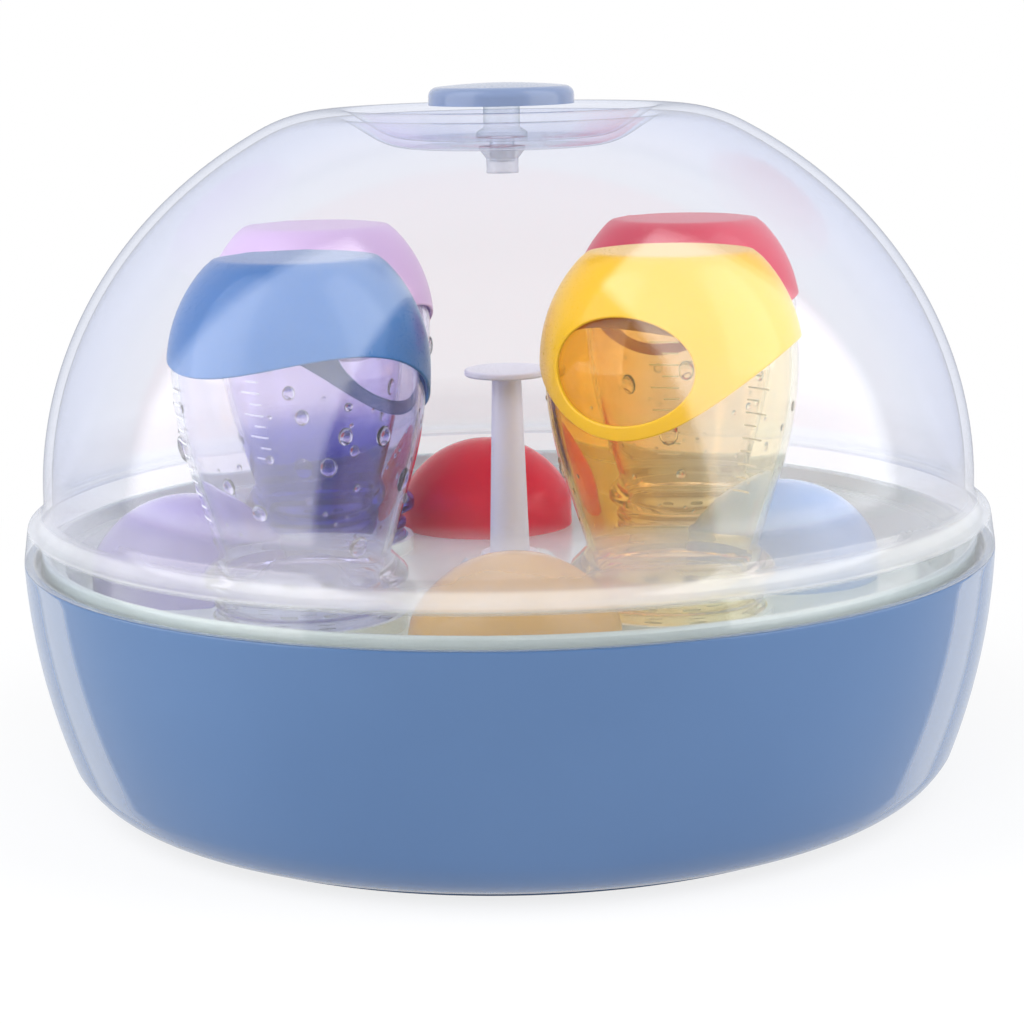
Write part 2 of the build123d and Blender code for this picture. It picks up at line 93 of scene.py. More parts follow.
class NodeBench:
    """The node tree of one material or world, and short ways to add to it."""

    NOISE_MIDDLE = (0.3, 0.7)

    def __init__(self, owner: bpy.types.Material | bpy.types.World) -> None:
        """Empties the tree of a material or a world, to fill it anew.

        Args:
            owner: The material or the world.
        """
        owner.use_nodes = True
        self.owner = owner
        self.tree = owner.node_tree
        self.tree.nodes.clear()
        self.place = self.add("ShaderNodeTexCoord").outputs["Object"]

    def add(self, kind: str, **values: object) -> bpy.types.Node:
        """Adds a node and sets its inputs and options.

        Args:
            kind: The node's type.
            values: Inputs by name with spaces written as underscores, or options of the node.

        Returns:
            The node.
        """
        node = self.tree.nodes.new(kind)
        for key, value in values.items():
            socket = node.inputs.get(key.replace("_", " "))
            if socket is not None:
                self.feed(value, socket)
            else:
                setattr(node, key, value)
        return node

    def feed(self, value: object, socket: Socket) -> None:
        """Links an output to a socket, or sets the socket to a plain value.

        Args:
            value: An output, a number or a colour.
            socket: The input to feed.
        """
        if isinstance(value, Socket):
            self.tree.links.new(value, socket)
        elif socket.type == "RGBA":
            socket.default_value = (*value, 1.0)
        else:
            socket.default_value = value

    def along(self, axis: str) -> Socket:
        """Adds the position along one axis of the object's own space."""
        return self.add("ShaderNodeSeparateXYZ", Vector=self.place).outputs[axis]

    def noise(self, scale: float, detail: float = 2.0) -> Socket:
        """Adds a noise pattern in the object's own space, with its waves per metre."""
        node = self.add("ShaderNodeTexNoise", Vector=self.place, Scale=scale, Detail=detail)
        return node.outputs[0]

    def mapped(self, value: Socket, ends: tuple[float, ...], kind: str = "LINEAR") -> Socket:
        """Maps one range onto another.

        Args:
            value: The value that runs.
            ends: The two ends of its range, and what they become.
            kind: The shape of the way between them.

        Returns:
            The mapped value.
        """
        node = self.add("ShaderNodeMapRange", interpolation_type=kind)
        for item, socket in zip((value, *ends), node.inputs[:5]):
            self.feed(item, socket)
        return node.outputs[0]

    def spread(self, value: Socket, low: float, high: float) -> Socket:
        """Maps the middle of a noise pattern onto a range."""
        return self.mapped(value, (*self.NOISE_MIDDLE, low, high))

    def step(self, value: Socket, zero: float, full: float) -> Socket:
        """Adds a smooth step from 0 at one value to 1 at another."""
        return self.mapped(value, (zero, full, 0.0, 1.0), "SMOOTHSTEP")

    def maths(self, kind: str, first: object, second: object = 0.0) -> Socket:
        """Adds one step of arithmetic.

        Args:
            kind: The sum to do.
            first: The first value.
            second: The second value, where the sum takes one.

        Returns:
            The result.
        """
        node = self.add("ShaderNodeMath", operation=kind)
        self.feed(first, node.inputs[0])
        self.feed(second, node.inputs[1])
        return node.outputs[0]

    def mixed(self, share: object, first: bpy.types.Node, second: bpy.types.Node) -> bpy.types.Node:
        """Mixes two shaders.

        Args:
            share: How much of the second one shows.
            first: The first shader.
            second: The second shader.

        Returns:
            The mixed shader.
        """
        node = self.add("ShaderNodeMixShader", Fac=share)
        self.feed(first.outputs[0], node.inputs[1])
        self.feed(second.outputs[0], node.inputs[2])
        return node

    def blend(self, share: Socket, first: object, second: object) -> Socket:
        """Mixes two colours.

        Args:
            share: How much of the second one shows.
            first: The first colour.
            second: The second colour.

        Returns:
            The mixed colour.
        """
        node = self.add("ShaderNodeMix", data_type="RGBA")
        for item, index in ((share, 0), (first, 6), (second, 7)):
            self.feed(item, node.inputs[index])
        return node.outputs[2]

    def bump(self, height: Socket, depth: float) -> Socket:
        """Turns a pattern into a surface ripple as deep as the number of metres."""
        return self.add("ShaderNodeBump", Height=height, Distance=depth, Strength=1.0).outputs[0]

    def finish(self, shader: bpy.types.Node) -> bpy.types.Material | bpy.types.World:
        """Joins a shader to the tree's output.

        Args:
            shader: The last shader.

        Returns:
            The finished material or world.
        """
        kind = "World" if isinstance(self.owner, bpy.types.World) else "Material"
        output = self.add(f"ShaderNodeOutput{kind}")
        self.feed(shader.outputs[0], output.inputs["Surface"])
        return self.owner


@dataclass(frozen=True)
class MouldedPlastic:
    """Opaque moulded plastic with a slight drift of colour, an uneven gloss and a faint ripple, and
    where asked a painted highlight beside its outline.
    """

    name: str
    colour: Colour
    shade: Colour
    roughness: float = 0.28
    gloss_spread: float = 0.08
    shine: float = 0.3
    coat: float = 0.2
    coat_roughness: float = 0.06
    drift_scale: float = 14.0
    grain_scale: float = 1500.0
    grain_detail: float = 3.0
    ripple: float = 0.00002
    ripple_scale: float = 90.0
    # Painted highlight: how much white mirror shows in a band beside the outline, and where that
    # band lies.
    painted_sheen: float = 0.0
    painted_sheen_leans: tuple[float, float, float, float] = (0.63, 0.66, 0.76, 0.80)
    painted_sheen_sides: tuple[float, float] = (86 * MM, 108 * MM)

    def material(self) -> bpy.types.Material:
        """Builds the material.

        Returns:
            The material.
        """
        bench = NodeBench(bpy.data.materials.new(self.name))
        skin = bench.add(
            "ShaderNodeBsdfPrincipled", IOR=PLASTIC_BEND, Specular_IOR_Level=self.shine,
            Coat_Weight=self.coat, Coat_Roughness=self.coat_roughness,
        )
        drift = bench.spread(bench.noise(self.drift_scale), 0.0, 1.0)
        bench.feed(bench.blend(drift, self.colour, self.shade), skin.inputs["Base Color"])
        grain = bench.noise(self.grain_scale, self.grain_detail)
        low = self.roughness - self.gloss_spread / 2
        gloss = bench.spread(grain, low, low + self.gloss_spread)
        bench.feed(gloss, skin.inputs["Roughness"])
        wave = bench.noise(self.ripple_scale)
        bench.feed(bench.bump(wave, self.ripple), skin.inputs["Normal"])
        if not self.painted_sheen:
            return bench.finish(skin)
        # The painted highlight's white mirror, mixed in only inside its band.
        mirror = bench.add("ShaderNodeBsdfGlossy", Color=WHITE, Roughness=self.coat_roughness)
        return bench.finish(bench.mixed(self.painted_sheen_share(bench), skin, mirror))

    def painted_sheen_share(self, bench: NodeBench) -> Socket:
        """Adds the painted highlight: a white mirror shown in a band beside the piece's outline, at
        its left and right only.

        Args:
            bench: The material to add to.

        Returns:
            How much of the mirror shows.
        """
        lean = bench.add("ShaderNodeLayerWeight", Blend=0.5).outputs["Facing"]
        rise = bench.step(lean, *self.painted_sheen_leans[:2])
        fall = bench.step(lean, *self.painted_sheen_leans[:1:-1])
        across = bench.maths("ABSOLUTE", bench.along("X"))
        beside = bench.step(across, *self.painted_sheen_sides)
        share = bench.maths("MULTIPLY", bench.maths("MULTIPLY", rise, fall), self.painted_sheen)
        return bench.maths("MULTIPLY", share, beside)


@dataclass(frozen=True)
class ClearPlastic:
    """Clear moulded plastic or water that bends light, with its colour running deeper one way
    across it.
    """

    name: str
    tint: Colour
    deep: Colour | None = None
    deep_way: Triple = (0.0, 0.0, 1.0)
    deep_start: float = 0.0
    deep_end: float = 0.0
    milk: float = 0.0
    roughness: float = 0.02
    gloss_spread: float = 0.02
    bend: float = 1.3
    haze_scale: float = 25.0
    haze_detail: float = 3.0
    ripple: float = 0.00001
    ripple_scale: float = 60.0

    def material(self) -> bpy.types.Material:
        """Builds the material, which lets the lamps' light straight through.

        Returns:
            The material.
        """
        bench = NodeBench(bpy.data.materials.new(self.name))
        glass = bench.add(
            "ShaderNodeBsdfPrincipled", Base_Color=self.tint, IOR=self.bend,
            Transmission_Weight=1.0 - self.milk,
        )
        # The colour runs from the tint to the deep colour one way across the piece; on the amber
        # bottle this is painted light, pale on the side where the light falls.
        if self.deep:
            run = bench.add("ShaderNodeVectorMath", operation="DOT_PRODUCT")
            bench.feed(bench.place, run.inputs[0])
            bench.feed(self.deep_way, run.inputs[1])
            share = bench.step(run.outputs["Value"], self.deep_end, self.deep_start)
            bench.feed(bench.blend(share, self.tint, self.deep), glass.inputs["Base Color"])
        haze = bench.noise(self.haze_scale, self.haze_detail)
        rough = bench.spread(haze, self.roughness, self.roughness + self.gloss_spread)
        bench.feed(rough, glass.inputs["Roughness"])
        wave = bench.noise(self.ripple_scale)
        bench.feed(bench.bump(wave, self.ripple), glass.inputs["Normal"])
        lamp_way = bench.add("ShaderNodeBsdfTransparent", Color=self.tint)
        path = bench.add("ShaderNodeLightPath")
        return bench.finish(bench.mixed(path.outputs["Is Shadow Ray"], glass, lamp_way))


@dataclass(frozen=True)
class HazyShell:
    """Thin clear moulding with a tinted edge, a painted dark outline, a white painted highlight
    line at its step, a faint milkiness and steam fog low down.
    """

    name: str
    tint: Colour
    edge_tint: Colour
    fog_colour: Colour
    skirt_colour: Colour = (0.6, 0.63, 0.58)
    # White of the painted highlight line along the lid's step.
    step_highlight_colour: Colour = WHITE
    skirt_top: float = 0.0785
    # Top of the painted highlight band at the step.
    step_highlight_top: float = 0.0815
    foot: float = 0.064
    head: float = 0.124
    # Milk rises across the step, where it carries the painted highlight line.
    milk: tuple[Point, ...] = (
        (0.0640, 0.18), (0.0770, 0.18), (0.0788, 0.46), (0.0812, 0.46),
        (0.0826, 0.36), (0.0890, 0.32), (0.0975, 0.03), (0.1240, 0.003),
    )
    cloud_scale: float = 24.0
    cloud_detail: float = 4.0
    cloud: tuple[float, float] = (0.8, 1.15)
    rear: tuple[float, float] = (-0.05, 0.04)
    rear_share: float = 0.3
    side_power: float = 2.2
    # Painted shade: the colour and tightness of a dark outline along the shell's silhouette.
    outline_shade: Colour = (0.16, 0.20, 0.30)
    outline_shade_power: float = 16.0
    shine: float = 0.042
    edge_shine: float = 0.8
    edge_power: float = 5.0
    most_shine: float = 0.34
    smear_scale: float = 18.0
    roughness: float = 0.07
    most_rough: float = 1.8

    def material(self) -> bpy.types.Material:
        """Builds the material.

        Returns:
            The material.
        """
        bench = NodeBench(bpy.data.materials.new(self.name))
        lean = bench.add("ShaderNodeLayerWeight", Blend=0.5).outputs["Facing"]
        side = bench.blend(
            bench.maths("POWER", lean, self.side_power), self.tint, self.edge_tint
        )
        # Painted shade: a dark outline right at the silhouette.
        colour = bench.blend(
            bench.maths("POWER", lean, self.outline_shade_power), side, self.outline_shade
        )
        clear = bench.add("ShaderNodeBsdfTransparent", Color=colour)
        height = bench.along("Z")
        fog = self.fog(bench, height)
        body = bench.mixed(self.milkiness(bench, height), clear, fog)
        smear = bench.noise(self.smear_scale)
        rough = bench.spread(smear, self.roughness, self.roughness * self.most_rough)
        gloss = bench.add("ShaderNodeBsdfGlossy", Color=WHITE, Roughness=rough)
        edge = bench.maths("MULTIPLY", bench.maths("POWER", lean, self.edge_power), self.edge_shine)
        mirror = bench.maths("MINIMUM", bench.maths("ADD", edge, self.shine), self.most_shine)
        return bench.finish(bench.mixed(mirror, body, gloss))

    def fog(self, bench: NodeBench, height: Socket) -> bpy.types.Node:
        """Adds the milky part of the shell: the skirt in its colour, a white painted highlight band
        at its step, and the fog colour above.

        Args:
            bench: The material to add to.
            height: The height in metres.

        Returns:
            The shader.
        """
        # Painted highlight: a white band from the skirt's top to the step's top.
        step_highlight_share = bench.step(height, self.skirt_top - MM, self.skirt_top)
        low = bench.blend(step_highlight_share, self.skirt_colour, self.step_highlight_colour)
        dome_share = bench.step(height, self.step_highlight_top, self.step_highlight_top + MM)
        colour = bench.blend(dome_share, low, self.fog_colour)
        near = bench.add("ShaderNodeBsdfDiffuse", Color=colour)
        through = bench.add("ShaderNodeBsdfTranslucent", Color=colour)
        return bench.mixed(0.5, near, through)

    def milkiness(self, bench: NodeBench, height: Socket) -> Socket:
        """Adds how milky the shell is at each height, cloudy and less so at the rear.

        Args:
            bench: The material to add to.
            height: The height in metres.

        Returns:
            The share of milk.
        """
        ramp = bench.add("ShaderNodeValToRGB")
        bench.feed(bench.mapped(height, (self.foot, self.head, 0.0, 1.0)), ramp.inputs[0])
        stops = ramp.color_ramp.elements
        while len(stops) < len(self.milk):
            stops.new(0.5)
        for stop, (place, _) in zip(stops, self.milk):
            stop.position = (place - self.foot) / (self.head - self.foot)
        for stop, (_, share) in zip(stops, self.milk):
            stop.color = (share, share, share, 1.0)
        cloud = bench.spread(bench.noise(self.cloud_scale, self.cloud_detail), *self.cloud)
        share = bench.maths("MULTIPLY", ramp.outputs[0], cloud)
        rear = bench.mapped(bench.along("Y"), (*self.rear, 1.0, self.rear_share), "SMOOTHSTEP")
        return bench.maths("MULTIPLY", share, rear)


class Finish(Enum):
    """The sterilizer's finishes."""

    # The bowl carries a painted highlight near its left and right outline.
    BOWL_BLUE = MouldedPlastic(
        "bowl_blue", tone(76, 105, 145), tone(80, 109, 149), roughness=0.2, painted_sheen=0.27
    )
    KNOB_BLUE = MouldedPlastic(
        "knob_blue", tone(118, 133, 166), tone(125, 141, 172), roughness=0.2
    )
    TRAY_WHITE = MouldedPlastic(
        "tray_white", tone(216, 227, 223), tone(206, 220, 215), roughness=0.25, coat=0.8
    )
    POST_WHITE = MouldedPlastic(
        "post_white", tone(226, 223, 236), tone(218, 216, 230), roughness=0.3
    )
    STEM_CLEAR = HazyShell(
        "stem_clear", tone(244, 246, 248), tone(200, 208, 214), tone(226, 228, 230),
        foot=0.17, head=0.19, milk=((0.17, 0.03), (0.19, 0.03)), shine=0.01, edge_shine=0.1,
    )
    CLIP_MILKY = HazyShell(
        "clip_milky", tone(246, 247, 250), tone(214, 216, 222), tone(240, 241, 244),
        foot=0.165, head=0.185, milk=((0.165, 0.6), (0.185, 0.5)), shine=0.01, edge_shine=0.1,
    )
    LID_CLEAR = HazyShell(
        "lid_clear", tone(254, 254, 255), tone(236, 240, 252), tone(214, 213, 218)
    )
    BOTTLE_LILAC = ClearPlastic(
        "bottle_lilac", tone(244, 243, 250), deep=tone(218, 216, 240),
        deep_way=(0.8, 0.0, -1.0), deep_start=-0.128, deep_end=-0.170, milk=0.015,
    )
    # Painted light and shade: pale on the bottle's right half, where the light falls, and deep
    # amber on its left.
    BOTTLE_AMBER = ClearPlastic(
        "bottle_amber", tone(252, 246, 222), deep=tone(252, 208, 106),
        deep_way=(1.0, 0.0, 0.0), deep_start=0.016, deep_end=0.060, milk=0.03,
    )
    BOTTLE_PURPLE = ClearPlastic(
        "bottle_purple", tone(236, 230, 248), deep=tone(106, 106, 208),
        deep_start=0.088, deep_end=0.098, milk=0.02,
    )
    BOTTLE_RED = ClearPlastic("bottle_red", tone(252, 244, 240), milk=0.01)
    GRIP_BLUE = MouldedPlastic(
        "grip_blue", tone(46, 102, 164), tone(54, 110, 172), roughness=0.3
    )
    GRIP_YELLOW = MouldedPlastic(
        "grip_yellow", tone(243, 190, 26), tone(239, 184, 22), roughness=0.3
    )
    GRIP_PURPLE = MouldedPlastic(
        "grip_purple", tone(214, 186, 224), tone(208, 178, 218), roughness=0.36
    )
    GRIP_RED = MouldedPlastic(
        "grip_red", tone(212, 70, 92), tone(206, 62, 86), roughness=0.36
    )
    HOOD_BLUE = MouldedPlastic(
        "hood_blue", tone(136, 170, 218), tone(130, 164, 214), roughness=0.2
    )
    HOOD_YELLOW = MouldedPlastic(
        "hood_yellow", tone(216, 158, 22), tone(212, 152, 18), roughness=0.2
    )
    HOOD_PURPLE = MouldedPlastic(
        "hood_purple", tone(140, 124, 196), tone(134, 118, 190), roughness=0.2
    )
    HOOD_RED = MouldedPlastic(
        "hood_red", tone(244, 10, 54), tone(236, 8, 48), roughness=0.16, shine=0.12, coat=0.1
    )
    DROP_CLEAR = ClearPlastic(
        "drop_clear", tone(252, 252, 254), roughness=0.0, gloss_spread=0.01, bend=1.33
    )
    SCALE_WHITE = MouldedPlastic("scale_white", tone(236, 238, 242), tone(226, 228, 234))


class Paintbox:
    """Makes each finish's material once."""

    def __init__(self) -> None:
        """Starts with no material made."""
        self.made: dict[Finish, bpy.types.Material] = {}

    def dress(self, piece: Piece, finish: Finish) -> None:
        """Gives a piece one finish all over.

        Args:
            piece: The piece.
            finish: Its finish.
        """
        if finish not in self.made:
            self.made[finish] = finish.value.material()
        if not piece.material_slots:
            piece.data.materials.append(self.made[finish])
        for slot in piece.material_slots:
            slot.material = self.made[finish]


def arc(centre: Point, radius: float, start: float, end: float, steps: int) -> list[Point]:
    """Points along an arc.

    Args:
        centre: The arc's centre.
        radius: Its radius.
        start: Angle of the first point, in degrees.
        end: Angle of the last point, in degrees.
        steps: How many chords it has.

    Returns:
        The points, both ends included.
    """
    turns = (math.radians(start + (end - start) * step / steps) for step in range(steps + 1))
    return [(centre[0] + radius * math.cos(t), centre[1] + radius * math.sin(t)) for t in turns]


def rounded(corners: list[Triple], steps: int = 6) -> list[Point]:
    """Rounds the corners of an open line.

    Args:
        corners: Each corner's two coordinates, and how far from it its rounding starts.
        steps: How many chords each rounding has.

    Returns:
        The rounded line's points.
    """
    points = [corners[0][:2]]
    for before, here, after in zip(corners, corners[1:], corners[2:]):
        corner = Vector(here[:2])
        to_before = Vector(before[:2]) - corner
        to_after = Vector(after[:2]) - corner
        shorter = min(to_before.length, to_after.length)
        reach = min(here[2], shorter * ROUNDING_SHARE)
        if reach < WELD * 4:
            points.append(tuple(corner))
            continue
        first = corner + to_before.normalized() * reach
        last = corner + to_after.normalized() * reach
        for step in range(steps + 1):
            share = step / steps
            near, far = first.lerp(corner, share), corner.lerp(last, share)
            points.append(tuple(near.lerp(far, share)))
    points.append(corners[-1][:2])
    return points


def shifted(points: list[Point], distance: float) -> list[Point]:
    """Moves a line sideways, to its left as it runs.

    Args:
        points: The line's points.
        distance: How far it moves.

    Returns:
        The moved line's points.
    """
    moved = []
    for index, point in enumerate(points):
        before = Vector(points[max(index - 1, 0)])
        after = Vector(points[min(index + 1, len(points) - 1)])
        run = (after - before).normalized()
        moved.append((point[0] - run.y * distance, point[1] + run.x * distance))
    return moved


class Workshop:
    """Modelling steps that several pieces share."""

    @staticmethod
    def clear_selection() -> None:
        """Leaves object mode with nothing selected."""
        if bpy.context.object and bpy.context.object.mode != "OBJECT":
            bpy.ops.object.mode_set(mode="OBJECT")
        bpy.ops.object.select_all(action="DESELECT")

    @staticmethod
    def pick(piece: Piece) -> None:
        """Selects one piece alone and makes it the active one.

        Args:
            piece: The piece.
        """
        Workshop.clear_selection()
        piece.select_set(True)
        bpy.context.view_layer.objects.active = piece

    @staticmethod
    def named(name: str) -> Piece:
        """Names the active piece and its mesh.

        Args:
            name: The name.

        Returns:
            The named piece.
        """
        piece = bpy.context.object
        piece.name = name
        piece.data.name = name
        return piece

    @staticmethod
    def weld() -> None:
        """Selects the whole mesh that is open for editing, and merges its doubles."""
        bpy.ops.mesh.select_all(action="SELECT")
        bpy.ops.mesh.remove_doubles(threshold=WELD)

    @staticmethod
    def turned(name: str, profile: list[Point], segments: int, closed: bool = False,
               start: float = 0.0, sweep: float = 360.0) -> Piece:
        """Turns a profile round the upright axis.

        Args:
            name: The piece's name.
            profile: Radius and height of each point.
            segments: How many steps the turn has.
            closed: True if the profile's last point joins its first.
            start: Bearing at which the turn starts, in degrees.
            sweep: How far it goes, in degrees; less than a whole turn gets end faces.

        Returns:
            The turned piece.
        """
        Workshop.clear_selection()
        bpy.ops.mesh.primitive_plane_add(size=MM, location=(0, 0, 0))
        piece = Workshop.named(name)
        bpy.ops.object.mode_set(mode="EDIT")
        bpy.ops.mesh.select_all(action="SELECT")
        bpy.ops.mesh.merge(type="CENTER")
        route = profile + profile[:1] if closed else profile
        bpy.ops.transform.translate(value=(route[0][0], 0, route[0][1]))
        for here, there in zip(route, route[1:]):
            step = (there[0] - here[0], 0, there[1] - here[1])
            bpy.ops.mesh.extrude_region_move(TRANSFORM_OT_translate={"value": step})
        Workshop.weld()
        bpy.ops.mesh.spin(
            steps=segments, angle=math.radians(sweep), center=(0, 0, 0), axis=UP
        )
        Workshop.weld()
        if sweep < 360:
            bpy.ops.mesh.fill_holes(sides=len(profile))
            bpy.ops.mesh.select_all(action="SELECT")
        bpy.ops.mesh.normals_make_consistent(inside=False)
        bpy.ops.object.mode_set(mode="OBJECT")
        piece.data.transform(Matrix.Rotation(math.radians(start), 4, "Z"))
        return piece

    @staticmethod
    def thickened(piece: Piece, wall: float) -> None:
        """Gives an open skin a wall on its inner side.

        Args:
            piece: The skin.
            wall: How thick the wall is.
        """
        Workshop.pick(piece)
        modifier = piece.modifiers.new("wall", "SOLIDIFY")
        modifier.thickness = wall
        modifier.offset = -1.0
        modifier.use_even_offset = True
        bpy.ops.object.modifier_apply(modifier=modifier.name)

    @staticmethod
    def smoothed(piece: Piece) -> None:
        """Shades a piece smooth up to its sharp edges."""
        Workshop.pick(piece)
        bpy.ops.object.shade_smooth_by_angle(angle=SMOOTH_ANGLE)

    @staticmethod
    def joined(pieces: list[Piece], name: str) -> Piece:
        """Joins pieces into one.

        Args:
            pieces: The pieces.
            name: The joined piece's name.

        Returns:
            The joined piece.
        """
        Workshop.clear_selection()
        for piece in pieces:
            piece.select_set(True)
        bpy.context.view_layer.objects.active = pieces[0]
        bpy.ops.object.join()
        return Workshop.named(name)

    @staticmethod
    def foot_of(node: str) -> Matrix:
        """The move from the origin to the middle of a node's foot."""
        low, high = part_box(node)
        return Matrix.Translation(((low.x + high.x) / 2, (low.y + high.y) / 2, low.z))

    @staticmethod
    def copied(piece: Piece, name: str, place: Matrix) -> Piece:
        """Copies a piece with its own mesh and puts the copy somewhere else.

        Args:
            piece: The piece to copy.
            name: The copy's name.
            place: The copy's move, turn and scale.

        Returns:
            The copy, with its place in its mesh.
        """
        mesh = piece.data.copy()
        mesh.name = name
        mesh.transform(place)
        copy = bpy.data.objects.new(name, mesh)
        bpy.context.scene.collection.objects.link(copy)
        return copy


@dataclass
class SubAssembly:
    """What every sub-assembly has: the paintbox, and a way to hand a piece over."""

    paints: Paintbox

    def settle(self, piece: Piece, body: str, finish: Finish, slot: str,
               nodes: tuple[str, ...] = ()) -> None:
        """Shades a piece smooth, dresses it, ties it to its body and hides the nodes it stands for.

        Args:
            piece: The finished piece.
            body: The body it moves with.
            finish: Its finish.
            slot: The record's material slot; not used.
            nodes: The model's nodes that it stands for.
        """
        Workshop.smoothed(piece)
        self.paints.dress(piece, finish)
        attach(piece, body)
        if nodes:
            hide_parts(*nodes)
        LOG.info("made %s with %d faces", piece.name, len(piece.data.polygons))

    def carry_over(self, node: str, finish: Finish) -> None:
        """Keeps a node of the model and gives it its finish."""
        self.paints.dress(bpy.data.objects[node], finish)
        LOG.info("kept %s", node)


@dataclass(frozen=True)
class SoftBox:
    """One soft box that points at the middle of the object."""

    name: str
    place: Triple
    width: float
    height: float
    power: float
    mirrored: bool = True
    upright: bool = False

    def hang(self, middle: Vector) -> None:
        """Hangs the box so that it faces the middle of the object.

        Args:
            middle: The middle of the object.
        """
        data = bpy.data.lights.new(self.name, "AREA")
        data.shape = "RECTANGLE"
        data.size = self.width
        data.size_y = self.height
        data.energy = self.power
        lamp = bpy.data.objects.new(self.name, data)
        place = Vector(self.place)
        way = middle - place
        if self.upright:
            way.z = 0
        aim = way.to_track_quat("-Z", "Y").to_matrix().to_4x4()
        lamp.matrix_world = Matrix.Translation(place) @ aim
        lamp.visible_camera = False
        lamp.visible_glossy = self.mirrored
        bpy.context.scene.collection.objects.link(lamp)


@dataclass
class Studio:
    """Camera, floor, backdrop and lamps."""

    distance: float = 0.720
    height: float = 0.2158
    pitch: float = 0.192
    pan: float = 0.0011
    roll: float = -0.0192
    lens: float = 91.4
    clear_layers: int = 32
    floor_size: float = 6.0
    shadow: tuple[float, float] = (0.13, 0.45)
    floor_white: tuple[float, float] = (0.80, 1.0)
    ambient: float = 0.42
    ambient_colour: Colour = (0.93, 0.95, 1.0)
    mirror_turn: tuple[float, float] = (-0.1, 0.45)
    mirror_white: tuple[float, float] = (0.12, 1.0)
    middle: Vector = field(default_factory=lambda: Vector((0, 0, 0.1)))

    LAMPS = (
        SoftBox("lamp_front", (-0.15, -1.0, 0.9), 0.8, 0.6, 5.0, mirrored=False),
        SoftBox("lamp_left", (-0.94, -0.34, 1.15), 1.0, 2.4, 21.0, upright=True),
        SoftBox("lamp_right", (0.95, -0.30, 1.15), 1.0, 2.4, 21.0, upright=True),
    )

    def set_camera(self) -> None:
        """Puts the camera at the photograph's viewing angle."""
        data = bpy.data.cameras.new("camera")
        data.lens = self.lens
        camera = bpy.data.objects.new("camera", data)
        tilt = Matrix.Rotation(math.pi / 2 - self.pitch, 4, "X")
        aim = Matrix.Rotation(-self.pan, 4, "Z") @ tilt
        place = Matrix.Translation((0, -self.distance, self.height))
        camera.matrix_world = place @ aim @ Matrix.Rotation(self.roll, 4, "Z")
        bpy.context.scene.collection.objects.link(camera)
        bpy.context.scene.camera = camera

    def lay_floor(self) -> None:
        """Lays a plain pale floor: white to the eye, with the soft shadow under the bowl."""
        Workshop.clear_selection()
        bpy.ops.mesh.primitive_plane_add(size=self.floor_size, location=(0, 0, 0))
        floor = Workshop.named("studio_floor")
        bench = NodeBench(bpy.data.materials.new("studio_floor"))
        cloth = bench.add("ShaderNodeBsdfDiffuse", Color=tone(248, 248, 248))
        white = bench.add("ShaderNodeEmission", Color=WHITE, Strength=1.0)
        far = bench.add("ShaderNodeVectorMath", operation="LENGTH")
        bench.feed(bench.place, far.inputs[0])
        fade = bench.mapped(far.outputs["Value"], (*self.shadow, *self.floor_white))
        path = bench.add("ShaderNodeLightPath")
        seen = path.outputs["Is Camera Ray"]
        for name in ("Is Glossy Ray", "Is Transmission Ray"):
            seen = bench.maths("MAXIMUM", seen, path.outputs[name])
        share = bench.maths("MULTIPLY", fade, seen)
        floor.data.materials.append(bench.finish(bench.mixed(share, cloth, white)))

    def hang_backdrop(self) -> None:
        """Makes the world white to the eye, and a soft even light to the object."""
        bench = NodeBench(bpy.data.worlds.new("studio_world"))
        way = bench.add("ShaderNodeTexCoord").outputs["Generated"]
        depth = bench.add("ShaderNodeSeparateXYZ", Vector=way).outputs["Y"]
        strength = bench.mapped(depth, (*self.mirror_turn, *self.mirror_white))
        shader = bench.add(
            "ShaderNodeBackground", Color=self.ambient_colour, Strength=self.ambient
        )
        mirrored = bench.add("ShaderNodeBackground", Color=WHITE, Strength=strength)
        white = bench.add("ShaderNodeBackground", Color=WHITE, Strength=1.0)
        path = bench.add("ShaderNodeLightPath")
        for name, look in (("Is Glossy Ray", mirrored), ("Is Camera Ray", white),
                           ("Is Transmission Ray", white)):
            shader = bench.mixed(path.outputs[name], shader, look)
        bpy.context.scene.world = bench.finish(shader)

    def build(self) -> None:
        """Sets up the whole studio."""
        bpy.context.scene.view_settings.view_transform = "Standard"
        bpy.context.scene.cycles.transparent_max_bounces = self.clear_layers
        self.set_camera()
        self.lay_floor()
        self.hang_backdrop()
        for lamp in self.LAMPS:
            lamp.hang(self.middle)
        LOG.info("studio ready")


